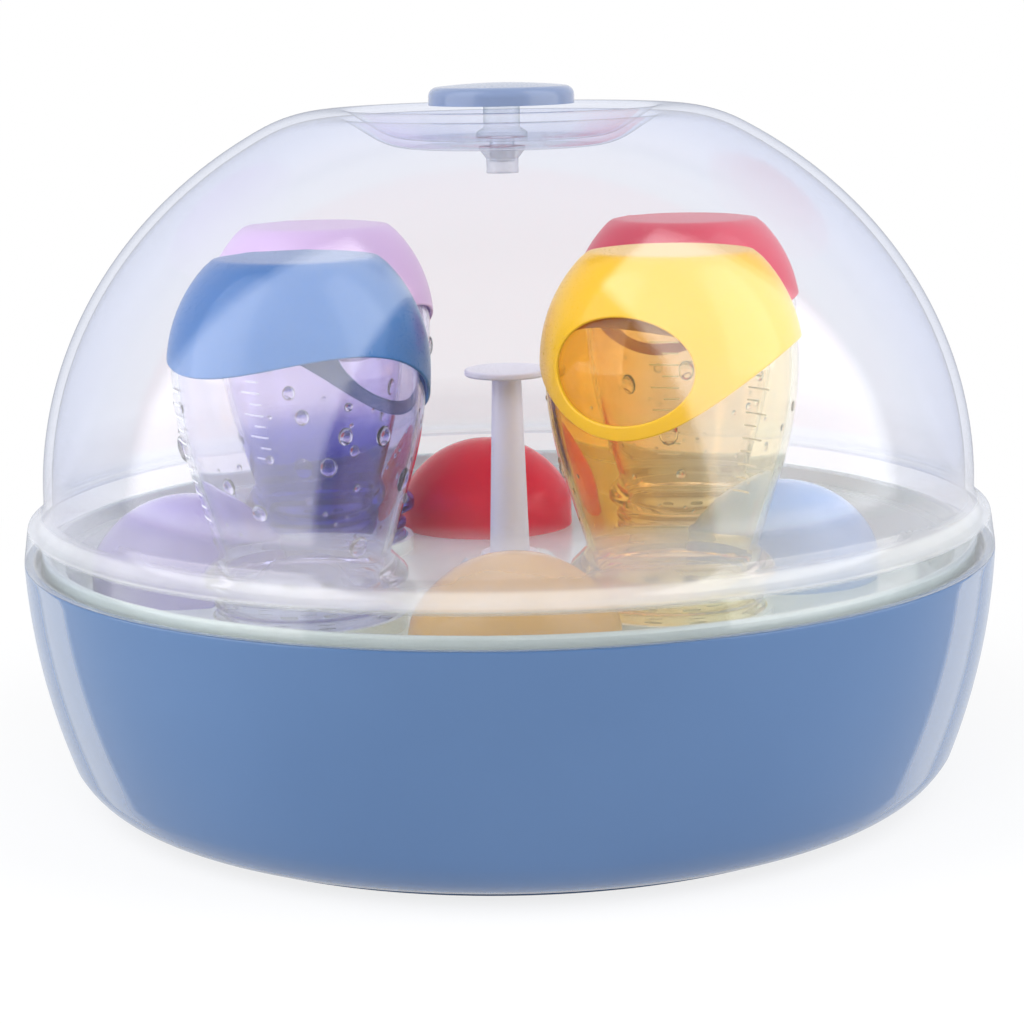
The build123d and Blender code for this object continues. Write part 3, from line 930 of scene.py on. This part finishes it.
@dataclass
class Bowl(SubAssembly):
    """The water bowl, with its foot ring, the ledge for the tray and the rim for the lid."""

    wall: float = 2.6 * MM
    rim_wall: float = 2.7 * MM
    foot_radius: float = 107.5 * MM
    foot_width: float = 9.0 * MM
    foot_lift: float = 1.2 * MM
    corner_inset: float = 10.8 * MM
    corner_height: float = 12.5 * MM
    lower_bow: float = 2.6 * MM
    upper_bow: float = 2.3 * MM
    ledge_width: float = 8.4 * MM
    tray_sink: float = 4.4 * MM
    ledge_depth: float = 2.4 * MM
    ledge_lap: float = 1.2 * MM
    ledge_slope: float = 0.8
    edge_round: float = 0.5 * MM
    upper_steps: int = 24

    def bowed(self, start: Point, end: Point, bow: float, steps: int = 14) -> list[Point]:
        """Points of a shallow arc that bulges outwards between two points.

        Args:
            start: The first point.
            end: The last point.
            bow: How far its middle bulges.
            steps: How many chords it has.

        Returns:
            The points between the ends, both left out.
        """
        first, last = Vector(start), Vector(end)
        side = Vector(((last - first).y, -(last - first).x)).normalized()
        points = []
        for step in range(1, steps):
            share = step / steps
            points.append(tuple(first.lerp(last, share) + side * bow * 4 * share * (1 - share)))
        return points

    def side(self, inset: float, top: float, radius: float) -> list[Point]:
        """The bowl's side from the edge of its floor to its rim, brought in by an inset.

        Args:
            inset: How far the line lies inside the outer surface.
            top: Height of the rim.
            radius: Outer radius of the rim.

        Returns:
            The line's points.
        """
        toe = (self.foot_radius, self.foot_lift + inset)
        corner = (radius - self.corner_inset - inset, self.corner_height + inset / 2)
        rim = (radius - inset, top)
        return [
            toe,
            *self.bowed(toe, corner, self.lower_bow),
            corner,
            *self.bowed(corner, rim, self.upper_bow, self.upper_steps),
            rim,
        ]

    def build(self) -> None:
        """Builds the bowl."""
        low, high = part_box("base_bowl")
        radius, top = high.x, high.z
        ledge_z = top - self.tray_sink
        foot_inner = self.foot_radius - self.foot_width
        outer = self.side(0, top, radius)
        ledge_foot = ledge_z - self.ledge_depth - self.ledge_width * self.ledge_slope
        inner = [point for point in self.side(self.wall, top, radius) if point[1] < ledge_foot]
        bore = radius - self.rim_wall
        ledge_r = bore + self.rim_wall / 2 - self.ledge_width + self.ledge_lap
        soft = self.edge_round
        foot = rounded([
            (0, self.foot_lift, 0), (foot_inner, self.foot_lift, soft),
            (foot_inner, low.z, soft), (self.foot_radius, low.z, soft),
            (self.foot_radius, self.foot_lift, soft), (*outer[1], 0),
        ], steps=4)
        rim = rounded([
            (*outer[-2], 0), (radius, top, soft), (bore, top, soft),
            (bore, ledge_z, soft), (ledge_r, ledge_z, soft),
            (ledge_r, ledge_z - self.ledge_depth, soft), (*inner[-1], 0),
        ], steps=4)
        floor = (0, self.foot_lift + self.wall)
        section = foot[:-1] + outer[1:-2] + rim[:-1] + inner[::-1] + [floor]
        bowl = Workshop.turned("bowl", section, FINE_TURN)
        self.settle(bowl, "base", Finish.BOWL_BLUE, "base_blue", ("base_bowl",))


@dataclass
class Tray(SubAssembly):
    """The lift-out tray and its post."""

    def build(self) -> None:
        """Dresses the tray and its post."""
        self.carry_over("tray", Finish.TRAY_WHITE)
        for node in ("lift_post", "post_grip_disc", "post_retainer"):
            self.carry_over(node, Finish.POST_WHITE)


@dataclass
class Lid(SubAssembly):
    """The clear lid: skirt, step, flare, dome, flat crown and a dish with the knob in it."""

    wall: float = 2.4 * MM
    skirt_height: float = 10.8 * MM
    skirt_taper: float = 1.4 * MM
    skirt_step: float = 2.0 * MM
    step_height: float = 1.2 * MM
    flare_height: float = 5.7 * MM
    dome_inset: float = 6.0 * MM
    crown_flat: float = 56.0 * MM
    crown_soft: float = 8.6 * MM
    dish_radius: float = 43.0 * MM
    dish_floor: float = 30.0 * MM
    dish_depth: float = 8.3 * MM
    dish_rim_round: float = 2.4 * MM
    dish_foot_round: float = 5.0 * MM
    stem_bore: float = 3.45 * MM
    lip_wall: float = 1.5 * MM
    lip_gap: float = 3.0 * MM
    lip_rise: float = 2.0 * MM
    edge_round: float = 0.5 * MM
    dome_steps: int = 60
    bend_steps: int = 12

    def outside(self) -> list[Point]:
        """The lid's outer line from its rim to the edge of the stem's hole.

        Returns:
            The line's points.
        """
        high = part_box("lid_dome")[1]
        rim_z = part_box("base_bowl")[1].z
        radius, crown_z = high.x, high.z
        step_z = rim_z + self.skirt_height
        spring_z = step_z + self.flare_height
        wide = radius - self.dome_inset
        tall = (crown_z - spring_z) / math.sqrt(1 - (self.crown_flat / wide) ** 2)
        flare_r = radius - self.skirt_taper - self.skirt_step
        run, rise = flare_r - wide, self.flare_height
        sweep = (run * run + rise * rise) / (2 * run)
        flare_end = 180 + math.degrees(math.asin(rise / sweep))
        flare = arc((wide + sweep, spring_z), sweep, flare_end, 180, steps=8)
        meet = math.degrees(math.acos(self.crown_flat / wide))
        turns = (math.radians(meet * step / self.dome_steps)
                 for step in range(1, self.dome_steps))
        dome = [(wide * math.cos(turn), spring_z + tall * math.sin(turn)) for turn in turns]
        dome = [point for point in dome if point[0] > self.crown_flat + self.crown_soft]
        shoulder = self.softened(dome[-2], dome[-1], crown_z)
        skirt = rounded([
            (radius, rim_z, 0),
            (radius - self.skirt_taper, step_z - self.step_height, self.edge_round),
            (*flare[0], self.edge_round), (*flare[1], 0),
        ], steps=4)
        crown = rounded([
            (*shoulder[-1], 0), (self.dish_radius, crown_z, self.dish_rim_round),
            (self.dish_floor, crown_z - self.dish_depth, self.dish_foot_round),
            (self.stem_bore, crown_z - self.dish_depth, 0),
        ], steps=8)
        return skirt[:-1] + flare[1:] + dome[:-1] + shoulder[:-1] + crown

    def softened(self, before: Point, start: Point, level: float) -> list[Point]:
        """The round bend that carries the dome's line over into the flat crown.

        Args:
            before: The dome's last point but one.
            start: The dome's last point.
            level: Height of the crown.

        Returns:
            The bend's points, from the dome to the crown.
        """
        here = Vector(start)
        run = (here - Vector(before)).normalized()
        corner = here + run * ((level - here.y) / run.y)
        end = Vector((corner.x - (corner - here).length, level))
        shares = [step / self.bend_steps for step in range(self.bend_steps + 1)]
        return [tuple(here.lerp(corner, s).lerp(corner.lerp(end, s), s)) for s in shares]

    def build(self) -> None:
        """Builds the lid's shell and dresses the knob and its stem."""
        outer = self.outside()
        low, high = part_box("lid_dome")
        rim_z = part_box("base_bowl")[1].z
        radius = high.x
        lip_r = radius - self.lip_gap
        lip_bore = lip_r - self.lip_wall
        lip_top = rim_z + self.lip_rise
        inner = [point for point in shifted(outer, self.wall)
                 if point[1] > lip_top + self.lip_wall]
        lip = rounded([
            (*inner[0], 0), (lip_bore, lip_top, self.edge_round),
            (lip_bore, low.z, self.edge_round), (lip_r, low.z, self.edge_round),
            (lip_r, rim_z, 0), (radius, rim_z, self.edge_round), (*outer[1], 0),
        ], steps=4)
        section = outer[1:] + inner[::-1] + lip[1:-1]
        shell = Workshop.turned("lid_shell", section, FINE_TURN, closed=True)
        self.settle(shell, "lid", Finish.LID_CLEAR, "lid_clear", ("lid_dome",))
        self.carry_over("lid_knob", Finish.KNOB_BLUE)
        self.carry_over("knob_stem", Finish.STEM_CLEAR)
        self.carry_over("knob_clip", Finish.CLIP_MILKY)


@dataclass
class BottleShape:
    """The lines of one bottle, measured up from its mouth."""

    radius: float = 33.0 * MM
    height: float = 96.5 * MM
    wall: float = 1.8 * MM
    belly_height: float = 69.0 * MM
    flank_arc: float = 95.0 * MM
    flank_angle: float = 17.0
    shoulder_arc: float = 37.5 * MM
    waist_height: float = 20.0 * MM
    bead_flare: float = 4.64 * MM
    bead_height: float = 2.6 * MM
    bead_overhang: float = 3.6 * MM
    thread_depth: float = 1.0 * MM
    thread_width: float = 1.6 * MM
    thread_turns: int = 2
    end_round: float = 2.0 * MM
    mouth_round: float = 0.5 * MM

    @property
    def waist_radius(self) -> float:
        """Radius of the waist between the body and the neck."""
        return self.belly(0)[0][0]

    @property
    def neck_radius(self) -> float:
        """Radius of the neck between its threads."""
        return self.waist_radius + self.bead_flare - self.bead_overhang

    def belly(self, offset: float) -> list[Point]:
        """The line of the body from the waist to the end, moved out by an offset.

        Args:
            offset: How far outside the bottle's skin the line lies.

        Returns:
            The line's points.
        """
        flank_centre = (self.radius - self.flank_arc, self.belly_height)
        flank = arc(flank_centre, self.flank_arc + offset, -self.flank_angle, 0, steps=14)
        low_r, low_z = flank[0]
        slope = math.tan(math.radians(self.flank_angle))
        waist = (low_r - (low_z - self.waist_height) * slope, self.waist_height)
        end_z = self.height + offset
        swing = self.shoulder_arc + offset
        end_turn = math.degrees(math.asin((end_z - self.belly_height) / swing))
        shoulder_centre = (self.radius - self.shoulder_arc, self.belly_height)
        shoulder = arc(shoulder_centre, swing, 0, end_turn, steps=20)
        soft = self.end_round + offset
        corner = rounded([(*shoulder[-3], 0), (*shoulder[-1], soft), (0, end_z, 0)])
        return [waist, *flank, *shoulder[1:-3], *corner]

    def section(self) -> list[Point]:
        """The closed skin's line: down the outside from the end to the mouth, and up the inside.

        Returns:
            The line's points.
        """
        outside = self.neck() + self.belly(0)[1:]
        inner_belly = self.belly(-self.wall)
        bore = self.neck_radius - self.wall
        inside = [
            (bore, 0), *rounded([
                (bore, self.mouth_round, 0), (bore, self.waist_height - 2 * self.wall, MM),
                (*inner_belly[0], MM), (*inner_belly[1], 0),
            ], steps=4)[:-1], *inner_belly[1:],
        ]
        return outside[::-1] + inside

    def neck(self) -> list[Point]:
        """The line of the neck from the mouth to just under the waist.

        Returns:
            The line's points.
        """
        waist_r, neck_r = self.waist_radius, self.neck_radius
        bead_r = waist_r + self.bead_flare
        bead_top = self.waist_height - self.bead_flare
        bead_low = bead_top - self.bead_height
        soft = self.mouth_round
        corners = [(neck_r, 0, 0)]
        pitch = (bead_low - self.thread_depth) / (self.thread_turns + 1)
        for turn in range(1, self.thread_turns + 1):
            middle = pitch * turn
            half, out = self.thread_width / 2, neck_r + self.thread_depth
            corners += [
                (neck_r, middle - self.thread_width, soft),
                (out, middle - half, soft), (out, middle + half, soft),
                (neck_r, middle + self.thread_width, soft),
            ]
        corners += [
            (neck_r, bead_low - self.thread_depth, soft), (bead_r, bead_low, soft),
            (bead_r, bead_top, soft * 2), (waist_r, self.waist_height, soft * 3),
            (*self.belly(0)[1], 0),
        ]
        return rounded(corners, steps=4)[:-1]


@dataclass
class GripPattern:
    """The flat pattern of a grip sleeve, before it is wrapped round a bottle."""

    shape: BottleShape
    gap: float = 0.2 * MM
    wall: float = 1.0 * MM
    wave_crest: float = 75.0 * MM
    wave_low: float = 49.5 * MM
    wave_back: float = 69.5 * MM
    crest_offset: float = 9.0 * MM
    window_height: float = 70.0 * MM
    window_half_width: float = 19.0 * MM
    window_half_height: float = 13.5 * MM
    lip_round: float = 0.42 * MM
    pole_share: float = 1.5
    lap: float = 4.0 * MM
    edge_steps: int = 120
    edge_rounds: int = 8
    window_steps: int = 56
    columns: int = 108
    rows: int = 26

    def __post_init__(self) -> None:
        """Measures the line that the sleeve's middle follows up the bottle."""
        line = self.shape.belly(self.gap + self.wall / 2)
        self.line = [Vector(point) for point in line]
        self.runs = [0.0]
        for here, there in zip(self.line, self.line[1:]):
            self.runs.append(self.runs[-1] + (there - here).length)
        self.roll = self.shape.radius + self.gap + self.wall / 2

    def at(self, run: float) -> tuple[Vector, Vector]:
        """The point and the outward direction at a distance along the line.

        Args:
            run: Distance from the waist.

        Returns:
            Radius and height of the point, and the direction square to the line.
        """
        index = 1
        while index < len(self.runs) - 1 and self.runs[index] < run:
            index += 1
        here, there = self.line[index - 1], self.line[index]
        share = (run - self.runs[index - 1]) / (self.runs[index] - self.runs[index - 1])
        way = (there - here).normalized()
        return here.lerp(there, share), Vector((way.y, -way.x))

    def run_at_height(self, height: float) -> float:
        """Finds where the line reaches a height.

        Args:
            height: The height above the bottle's mouth.

        Returns:
            Distance along the line.
        """
        for index in range(1, len(self.line)):
            here, there = self.line[index - 1], self.line[index]
            if here.y <= height <= there.y and there.y > here.y:
                share = (height - here.y) / (there.y - here.y)
                return self.runs[index - 1] + share * (self.runs[index] - self.runs[index - 1])
        return self.runs[-1]

    def edge_height(self, reach: float) -> float:
        """Finds how high the wavy lower edge is.

        Args:
            reach: How far towards the window the edge's point lies.

        Returns:
            Height above the bottle's mouth.
        """
        full = self.shape.radius + self.gap + self.wall
        if reach > -self.crest_offset:
            run, drop = full + self.crest_offset, self.wave_crest - self.wave_low
        else:
            run, drop = full - self.crest_offset, self.wave_crest - self.wave_back
        bow = (run * run + drop * drop) / (2 * drop)
        across = reach + self.crest_offset
        return self.wave_crest - bow + math.sqrt(bow * bow - across * across)

    def edge_run(self, turn: float) -> float:
        """Finds the wavy lower edge at a turn from the window.

        Args:
            turn: The turn, in radians.

        Returns:
            Distance along the line.
        """
        height = self.wave_crest
        for _ in range(self.edge_rounds):
            reach = self.at(self.run_at_height(height))[0].x * math.cos(turn)
            height = self.edge_height(reach)
        return self.run_at_height(height)

    def outlines(self) -> list[list[Point]]:
        """Draws the flat pattern.

        Returns:
            Its two outlines: the edge, and the window in the middle.
        """
        reach = math.pi * self.roll + self.lap
        sweep = math.pi + self.lap / self.roll
        turns = [-sweep + 2 * sweep * step / self.edge_steps
                 for step in range(self.edge_steps + 1)]
        edge = [(turn * self.roll, self.edge_run(turn)) for turn in turns]
        edge += [(reach, self.runs[-1]), (-reach, self.runs[-1])]
        window = []
        for step in range(self.window_steps):
            angle = math.tau * step / self.window_steps
            height = self.window_height + self.window_half_height * math.sin(angle)
            run = self.run_at_height(height)
            across = self.window_half_width * math.cos(angle) / self.at(run)[0].x
            window.append((math.asin(across) * self.roll, run))
        return [edge, window]

    def wrapped(self, name: str) -> Piece:
        """Cuts the pattern flat, with rounded lips, and wraps it round the upright axis.

        Args:
            name: The sleeve's name.

        Returns:
            The sleeve, with its window at +X and the bottle's mouth at height 0.
        """
        curve = bpy.data.curves.new(name, "CURVE")
        curve.dimensions = "2D"
        curve.fill_mode = "BOTH"
        curve.bevel_depth = self.lip_round
        curve.bevel_resolution = 2
        curve.extrude = self.wall / 2 - self.lip_round
        curve.offset = -self.lip_round
        for outline in self.outlines():
            spline = curve.splines.new("POLY")
            spline.points.add(len(outline) - 1)
            for point, (x, y) in zip(spline.points, outline):
                point.co = (x, y, 0, 1)
            spline.use_cyclic_u = True
        plate = bpy.data.objects.new(name, curve)
        bpy.context.scene.collection.objects.link(plate)
        Workshop.pick(plate)
        bpy.ops.object.convert(target="MESH")
        plate = Workshop.named(name)
        self.slice()
        for vertex in plate.data.vertices:
            spot, way = self.at(vertex.co.y)
            turn, out = vertex.co.x / self.roll, vertex.co.z
            radius = spot.x + way.x * out
            if radius < self.lip_round * self.pole_share:
                radius, out = 0, math.copysign(self.wall / 2, out)
            height = spot.y + way.y * out
            vertex.co = (radius * math.cos(turn), radius * math.sin(turn), height)
        Workshop.pick(plate)
        bpy.ops.object.mode_set(mode="EDIT")
        Workshop.weld()
        bpy.ops.object.mode_set(mode="OBJECT")
        return plate

    def slice(self) -> None:
        """Trims the active plate's two ends and cuts it along a grid, so that it can bend."""
        reach = math.pi * self.roll
        low = self.edge_run(0.0)
        cuts = [((side * reach, 0, 0), (side, 0, 0), True) for side in (-1, 1)]
        for column in range(1, self.columns):
            across = -reach + 2 * reach * column / self.columns
            cuts.append(((across, 0, 0), (1, 0, 0), False))
        for row in range(1, self.rows):
            up = low + (self.runs[-1] - low) * row / self.rows
            cuts.append(((0, up, 0), (0, 1, 0), False))
        bpy.ops.object.mode_set(mode="EDIT")
        Workshop.weld()
        for point, way, trim in cuts:
            bpy.ops.mesh.select_all(action="SELECT")
            bpy.ops.mesh.bisect(plane_co=point, plane_no=way, clear_outer=trim)
        bpy.ops.object.mode_set(mode="OBJECT")


@dataclass(frozen=True)
class Place:
    """How one bottle stands: which way its window faces, its drops and its finishes."""

    bearing: float
    drops: int
    clear: Finish
    grip: Finish

    @property
    def grip_slot(self) -> str:
        """The record's material slot for the sleeve."""
        return self.grip.value.name.replace("grip", "sleeve")


@dataclass
class BottleSet(SubAssembly):
    """The four bottles that stand on their mouths, each with its sleeve, scale and drops."""

    shape: BottleShape = field(default_factory=BottleShape)
    seed: int = 7
    drop_small: float = 0.45 * MM
    drop_large: float = 3.0 * MM
    drop_squash: float = 0.42
    scale_bearing: float = 163.0
    scale_low: float = 31.0 * MM
    scale_step: float = 3.4 * MM
    scale_ticks: int = 11
    tick_width: float = 0.5 * MM
    tick_depth: float = 0.16 * MM
    long_tick: float = 16.0
    short_tick: float = 9.0
    tick_slope: float = 0.8
    tick_root: float = 0.4
    drop_lowest: float = 3.0 * MM
    drop_highest: float = 6.0 * MM
    drop_longest: float = 1.25

    PLACES = {
        "front_left": Place(42.5, 60, Finish.BOTTLE_LILAC, Finish.GRIP_BLUE),
        "front_right": Place(-118.0, 50, Finish.BOTTLE_AMBER, Finish.GRIP_YELLOW),
        "rear_left": Place(75.0, 30, Finish.BOTTLE_PURPLE, Finish.GRIP_PURPLE),
        "rear_right": Place(100.0, 30, Finish.BOTTLE_RED, Finish.GRIP_RED),
    }

    def scale_marks(self) -> Piece:
        """Builds the raised ticks of a plain measuring scale.

        Returns:
            The ticks, round the upright axis, with the mouth at height 0.
        """
        line = GripPattern(self.shape, gap=0.0, wall=0.0)
        ticks = []
        for index in range(self.scale_ticks):
            spot, way = line.at(line.run_at_height(self.scale_low + index * self.scale_step))
            sweep = self.short_tick if index % 2 else self.long_tick
            along = Vector((-way.y, way.x))
            corners = [
                spot + along * (self.tick_width / 2 * side) + way * self.tick_depth * out
                for side, out in ((-1, -self.tick_root), (-self.tick_slope, 1),
                                  (self.tick_slope, 1), (1, -self.tick_root))
            ]
            ticks.append(Workshop.turned(
                f"tick_{index}", [tuple(corner) for corner in corners], TICK_TURN, closed=True,
                start=self.scale_bearing, sweep=sweep,
            ))
        return Workshop.joined(ticks, "scale_pattern")

    def drops(self, name: str, count: int, chance: random.Random) -> Piece:
        """Scatters flattened drops of water over a bottle.

        Args:
            name: The piece's name.
            count: How many drops there are.
            chance: The source of chance.

        Returns:
            The drops, round the upright axis, with the mouth at height 0.
        """
        Workshop.clear_selection()
        bpy.ops.mesh.primitive_uv_sphere_add(
            segments=12, ring_count=8, radius=1.0, location=(0, 0, 0)
        )
        bead = Workshop.named("drop_pattern")
        line = GripPattern(self.shape, gap=0.0, wall=0.0)
        lowest = self.shape.waist_height + self.drop_lowest
        highest = self.shape.belly_height - self.drop_highest
        beads = []
        for index in range(count):
            size = self.drop_small + (self.drop_large - self.drop_small) * chance.random() ** 3
            height = chance.uniform(lowest, highest)
            spot, way = line.at(line.run_at_height(height))
            turn = Matrix.Rotation(chance.uniform(0, math.tau), 4, "Z")
            lean = UP.rotation_difference(Vector((way.x, 0, way.y))).to_matrix().to_4x4()
            length = size * chance.uniform(1.0, self.drop_longest)
            squash = Matrix.Diagonal((length, size, size * self.drop_squash, 1))
            place = turn @ Matrix.Translation((spot.x, 0, spot.y)) @ lean @ squash
            beads.append(Workshop.copied(bead, f"{name}_{index}", place))
        bpy.data.objects.remove(bead)
        return Workshop.joined(beads, name)

    def build(self) -> None:
        """Builds one bottle, one sleeve and one scale, and copies them to their four places."""
        body = Workshop.turned("bottle_pattern", self.shape.section(), PLAIN_TURN)
        sleeve = GripPattern(self.shape).wrapped("grip_pattern")
        scale = self.scale_marks()
        chance = random.Random(self.seed)
        for spot, place in self.PLACES.items():
            node = f"bottle_{spot}"
            clear_slot = place.clear.value.name
            foot = Workshop.foot_of(node)
            turned = foot @ Matrix.Rotation(math.radians(place.bearing), 4, "Z")
            bottle = Workshop.copied(body, f"bottle_body_{spot}", turned)
            self.settle(bottle, node, place.clear, clear_slot, (node,))
            grip = Workshop.copied(sleeve, f"grip_{spot}", turned)
            self.settle(grip, node, place.grip, place.grip_slot, (f"grip_sleeve_{spot}",))
            ticks = Workshop.copied(scale, f"scale_{spot}", turned)
            self.settle(ticks, node, Finish.SCALE_WHITE, clear_slot)
            wet = self.drops("wet_pattern", place.drops, chance)
            drops = Workshop.copied(wet, f"drops_{spot}", foot)
            bpy.data.objects.remove(wet)
            self.settle(drops, node, Finish.DROP_CLEAR, clear_slot)
        for pattern in (body, sleeve, scale):
            bpy.data.objects.remove(pattern)


@dataclass
class HoodSet(SubAssembly):
    """The four bottle hoods that stand on the tray."""

    side: float = 6.0 * MM
    corner: float = 14.0 * MM
    wall: float = 1.8 * MM

    FINISHES = {
        "front": Finish.HOOD_YELLOW,
        "rear": Finish.HOOD_RED,
        "left": Finish.HOOD_PURPLE,
        "right": Finish.HOOD_BLUE,
    }

    def outside(self, radius: float, height: float) -> list[Point]:
        """The hood's outer line: a short side, a rounded corner and a round crown.

        Args:
            radius: The hood's radius.
            height: The hood's height.

        Returns:
            The line's points from the foot to the top.
        """
        corner_r = radius - self.corner
        rise = height - self.side
        crown = (corner_r**2 + rise**2 - self.corner**2) / (2 * (rise - self.corner))
        crown_z = height - crown
        meet = math.degrees(math.atan2(self.side - crown_z, corner_r))
        shoulder = arc((corner_r, self.side), self.corner, 0, meet, steps=16)
        top = arc((0, crown_z), crown, meet, 90, steps=14)
        return [(radius, 0), (radius, self.side / 2), *shoulder, *top[1:]]

    def build(self) -> None:
        """Builds one hood and copies it to its four places."""
        low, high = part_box("hood_front")
        profile = self.outside((high.x - low.x) / 2, high.z - low.z)
        hood = Workshop.turned("hood_pattern", profile, PLAIN_TURN)
        Workshop.thickened(hood, self.wall)
        for place, finish in self.FINISHES.items():
            node = f"hood_{place}"
            piece = Workshop.copied(hood, f"hood_cap_{place}", Workshop.foot_of(node))
            self.settle(piece, node, finish, finish.value.name, (node,))
        bpy.data.objects.remove(hood)


def main() -> None:
    """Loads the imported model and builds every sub-assembly around it."""
    logging.basicConfig(level=logging.INFO, format="%(message)s")
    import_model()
    Workshop.clear_selection()
    Studio().build()
    paints = Paintbox()
    for assembly in (Bowl, Tray, Lid, BottleSet, HoodSet):
        assembly(paints).build()


if __name__ == "__main__":
    main()
